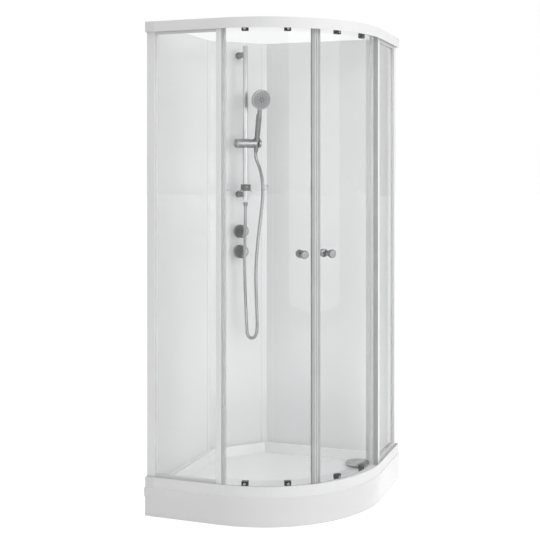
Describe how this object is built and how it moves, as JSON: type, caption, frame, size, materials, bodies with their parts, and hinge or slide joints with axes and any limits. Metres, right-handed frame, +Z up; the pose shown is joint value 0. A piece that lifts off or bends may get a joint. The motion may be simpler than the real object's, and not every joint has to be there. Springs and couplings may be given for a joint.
{
  "type": "quadrant shower enclosure",
  "caption": "Quadrant shower cabin with a shallow tray, curved sliding glass doors, fixed glass sides, solid wall panels, a concealed mixer and a handset on a riser rail.",
  "frame": {"origin": "bottom centre of the bounding box, on the floor the levelling feet stand on", "axes": "+Z up; the rounded corner with the doors faces +X -Y; the wall panels stand at -X and +Y with the narrow corner panel between them"},
  "size_m": [0.9, 0.9, 2.104],
  "materials": {
    "white_acrylic": "gloss, moulded",
    "white_metal": "white powder coat, satin",
    "steel": "galvanised",
    "black_plastic": "matt, moulded",
    "grey_plastic": "matt, moulded",
    "white_plastic": "satin, moulded",
    "clear_glass": "clear, polished",
    "white_panel": "gloss sheet",
    "seal": "soft translucent strip",
    "magnet": "satin strip",
    "chrome": "polished",
    "chromed_plastic": "chromed, polished",
    "white_nylon": "satin, moulded",
    "brass": "cast and turned",
    "copper_pipe": "drawn tube",
    "hose": "silver-grey smooth sheath",
    "soft_nozzles": "soft, moulded",
    "clear_plastic": "clear, polished"
  },
  "bodies": {
    "cabin": {"shower_tray": "white_acrylic", "tray_support_frame": "steel", "levelling_feet": "steel", "waste_trap": "black_plastic", "waste_flange": "grey_plastic", "bottom_rail": "white_metal", "top_rail": "white_metal", "rail_end_caps": "white_plastic", "left_wall_post": "white_metal", "right_wall_post": "white_metal", "left_door_jamb": "white_metal", "right_door_jamb": "white_metal", "left_fixed_glass": "clear_glass", "right_fixed_glass": "clear_glass", "glazing_beads": "white_plastic", "door_stops": "black_plastic", "left_wall_panel": "white_panel", "corner_wall_panel": "white_panel", "back_wall_panel": "white_panel", "corner_profiles": "white_metal", "riser_rail": "chromed_plastic", "riser_brackets": "chromed_plastic", "shower_hose": "hose", "lower_hose_nut": "chrome", "mixer_body": "brass", "feed_pipe": "copper_pipe", "escutcheons": "chrome"},
    "left_door": {"left_door_glass": "clear_glass", "left_magnet_strip": "magnet", "left_door_seals": "seal", "left_roller_brackets": "grey_plastic", "left_door_knobs": "chrome"},
    "slider": {"slider_body": "chromed_plastic"},
    "slider_lock": {"slider_lock_knob": "chromed_plastic"},
    "cradle": {"handset_cradle": "chromed_plastic"},
    "handset": {"handset_body": "chromed_plastic", "upper_hose_nut": "chrome"},
    "spray": {"spray_face": "soft_nozzles"},
    "dish": {"soap_dish": "clear_plastic", "dish_clamp": "chromed_plastic"},
    "temperature_control": {"temperature_knob": "chromed_plastic"},
    "flow_control": {"flow_knob": "chromed_plastic"},
    "temperature_button": {"temperature_stop_button": "grey_plastic"},
    "flow_button": {"flow_stop_button": "grey_plastic"},
    "waste_plug": {"waste_cover": "chrome", "waste_strainer": "grey_plastic"},
    "apron": {"tray_apron": "white_acrylic"},
    "right_door": {"right_door_glass": "clear_glass", "right_magnet_strip": "magnet", "right_door_seals": "seal", "right_roller_brackets": "grey_plastic", "right_door_knobs": "chrome"},
    "left_top_inner_roller": {"left_top_inner_wheel": "white_nylon"},
    "left_top_outer_roller": {"left_top_outer_wheel": "white_nylon"},
    "left_bottom_inner_roller": {"left_bottom_inner_wheel": "white_nylon"},
    "left_bottom_outer_roller": {"left_bottom_outer_wheel": "white_nylon"},
    "right_top_inner_roller": {"right_top_inner_wheel": "white_nylon"},
    "right_top_outer_roller": {"right_top_outer_wheel": "white_nylon"},
    "right_bottom_inner_roller": {"right_bottom_inner_wheel": "white_nylon"},
    "right_bottom_outer_roller": {"right_bottom_outer_wheel": "white_nylon"}
  },
  "joints": [
    {"name": "left_door_slide", "type": "hinge", "parent": "cabin", "child": "left_door", "pos_m": [-0.16169, 0.31028, 0], "axis": [0, 0, -1], "range_deg": [0, 20.5]},
    {"name": "right_door_slide", "type": "hinge", "parent": "cabin", "child": "right_door", "pos_m": [-0.31028, 0.16169, 0], "axis": [0, 0, 1], "range_deg": [0, 20.5]},
    {"name": "left_top_inner_spin", "type": "hinge", "parent": "left_door", "child": "left_top_inner_roller", "pos_m": [0.15494, -0.3243, 2.0898], "axis": [0.515, -0.8572, 0], "range_deg": [0, 1400]},
    {"name": "left_top_outer_spin", "type": "hinge", "parent": "left_door", "child": "left_top_outer_roller", "pos_m": [-0.01404, -0.38748, 2.0898], "axis": [0.1736, -0.9848, 0], "range_deg": [0, 1400]},
    {"name": "left_bottom_inner_spin", "type": "hinge", "parent": "left_door", "child": "left_bottom_inner_roller", "pos_m": [0.15494, -0.3243, 0.1382], "axis": [-0.515, 0.8572, 0], "range_deg": [0, 1400]},
    {"name": "left_bottom_outer_spin", "type": "hinge", "parent": "left_door", "child": "left_bottom_outer_roller", "pos_m": [-0.01404, -0.38748, 0.1382], "axis": [-0.1736, 0.9848, 0], "range_deg": [0, 1400]},
    {"name": "right_top_inner_spin", "type": "hinge", "parent": "right_door", "child": "right_top_inner_roller", "pos_m": [0.3243, -0.15494, 2.0898], "axis": [-0.8572, 0.515, 0], "range_deg": [0, 1400]},
    {"name": "right_top_outer_spin", "type": "hinge", "parent": "right_door", "child": "right_top_outer_roller", "pos_m": [0.38748, 0.01404, 2.0898], "axis": [-0.9848, 0.1736, 0], "range_deg": [0, 1400]},
    {"name": "right_bottom_inner_spin", "type": "hinge", "parent": "right_door", "child": "right_bottom_inner_roller", "pos_m": [0.3243, -0.15494, 0.1382], "axis": [0.8572, -0.515, 0], "range_deg": [0, 1400]},
    {"name": "right_bottom_outer_spin", "type": "hinge", "parent": "right_door", "child": "right_bottom_outer_roller", "pos_m": [0.38748, 0.01404, 0.1382], "axis": [0.9848, -0.1736, 0], "range_deg": [0, 1400]},
    {"name": "slider_height", "type": "slide", "parent": "cabin", "child": "slider", "axis": [0, 0, 1], "range_m": [-0.11, 0.38], "deforming": ["shower_hose"]},
    {"name": "slider_lock_turn", "type": "hinge", "parent": "slider", "child": "slider_lock", "pos_m": [-0.26729, 0.26729, 1.604], "axis": [0.7071, 0.7071, 0], "range_deg": [0, 90]},
    {"name": "cradle_tilt", "type": "hinge", "parent": "slider", "child": "cradle", "pos_m": [-0.26729, 0.26729, 1.604], "axis": [0.7071, 0.7071, 0], "range_deg": [-11, 20], "deforming": ["shower_hose"]},
    {"name": "handset_lift", "type": "slide", "parent": "cradle", "child": "handset", "axis": [0.147, -0.147, 0.9781], "range_m": [0, 0.12], "deforming": ["shower_hose"]},
    {"name": "spray_turn", "type": "hinge", "parent": "handset", "child": "spray", "pos_m": [-0.19508, 0.27569, 1.81626], "axis": [0.6917, -0.6917, -0.2079], "range_deg": [-30, 30]},
    {"name": "dish_height", "type": "slide", "parent": "cabin", "child": "dish", "axis": [0, 0, 1], "range_m": [0, 0.04]},
    {"name": "temperature_turn", "type": "hinge", "parent": "cabin", "child": "temperature_control", "pos_m": [-0.32951, 0.32951, 1.175], "axis": [0.7071, -0.7071, 0], "range_deg": [-150, 120]},
    {"name": "flow_turn", "type": "hinge", "parent": "cabin", "child": "flow_control", "pos_m": [-0.32951, 0.32951, 1.075], "axis": [0.7071, -0.7071, 0], "range_deg": [-90, 90]},
    {"name": "temperature_button_press", "type": "slide", "parent": "temperature_control", "child": "temperature_button", "axis": [0, 0, -1], "range_m": [0, 0.003], "stiffness_N_per_m": 400, "springref_m": -0.002},
    {"name": "flow_button_press", "type": "slide", "parent": "flow_control", "child": "flow_button", "axis": [0, 0, -1], "range_m": [0, 0.003], "stiffness_N_per_m": 400, "springref_m": -0.002},
    {"name": "waste_plug_lift", "type": "slide", "parent": "cabin", "child": "waste_plug", "axis": [0, 0, 1], "range_m": [0, 0.1]},
    {"name": "apron_pull", "type": "slide", "parent": "cabin", "child": "apron", "axis": [0.7071, -0.7071, 0], "range_m": [0, 0.15]}
  ],
  "couplings": [
    {"joint": "left_top_inner_spin", "follows": "left_door_slide", "ratio": 67.542},
    {"joint": "left_top_outer_spin", "follows": "left_door_slide", "ratio": 67.925},
    {"joint": "left_bottom_inner_spin", "follows": "left_door_slide", "ratio": 67.542},
    {"joint": "left_bottom_outer_spin", "follows": "left_door_slide", "ratio": 67.925},
    {"joint": "right_top_inner_spin", "follows": "right_door_slide", "ratio": 67.542},
    {"joint": "right_top_outer_spin", "follows": "right_door_slide", "ratio": 67.925},
    {"joint": "right_bottom_inner_spin", "follows": "right_door_slide", "ratio": 67.542},
    {"joint": "right_bottom_outer_spin", "follows": "right_door_slide", "ratio": 67.925}
  ]
}
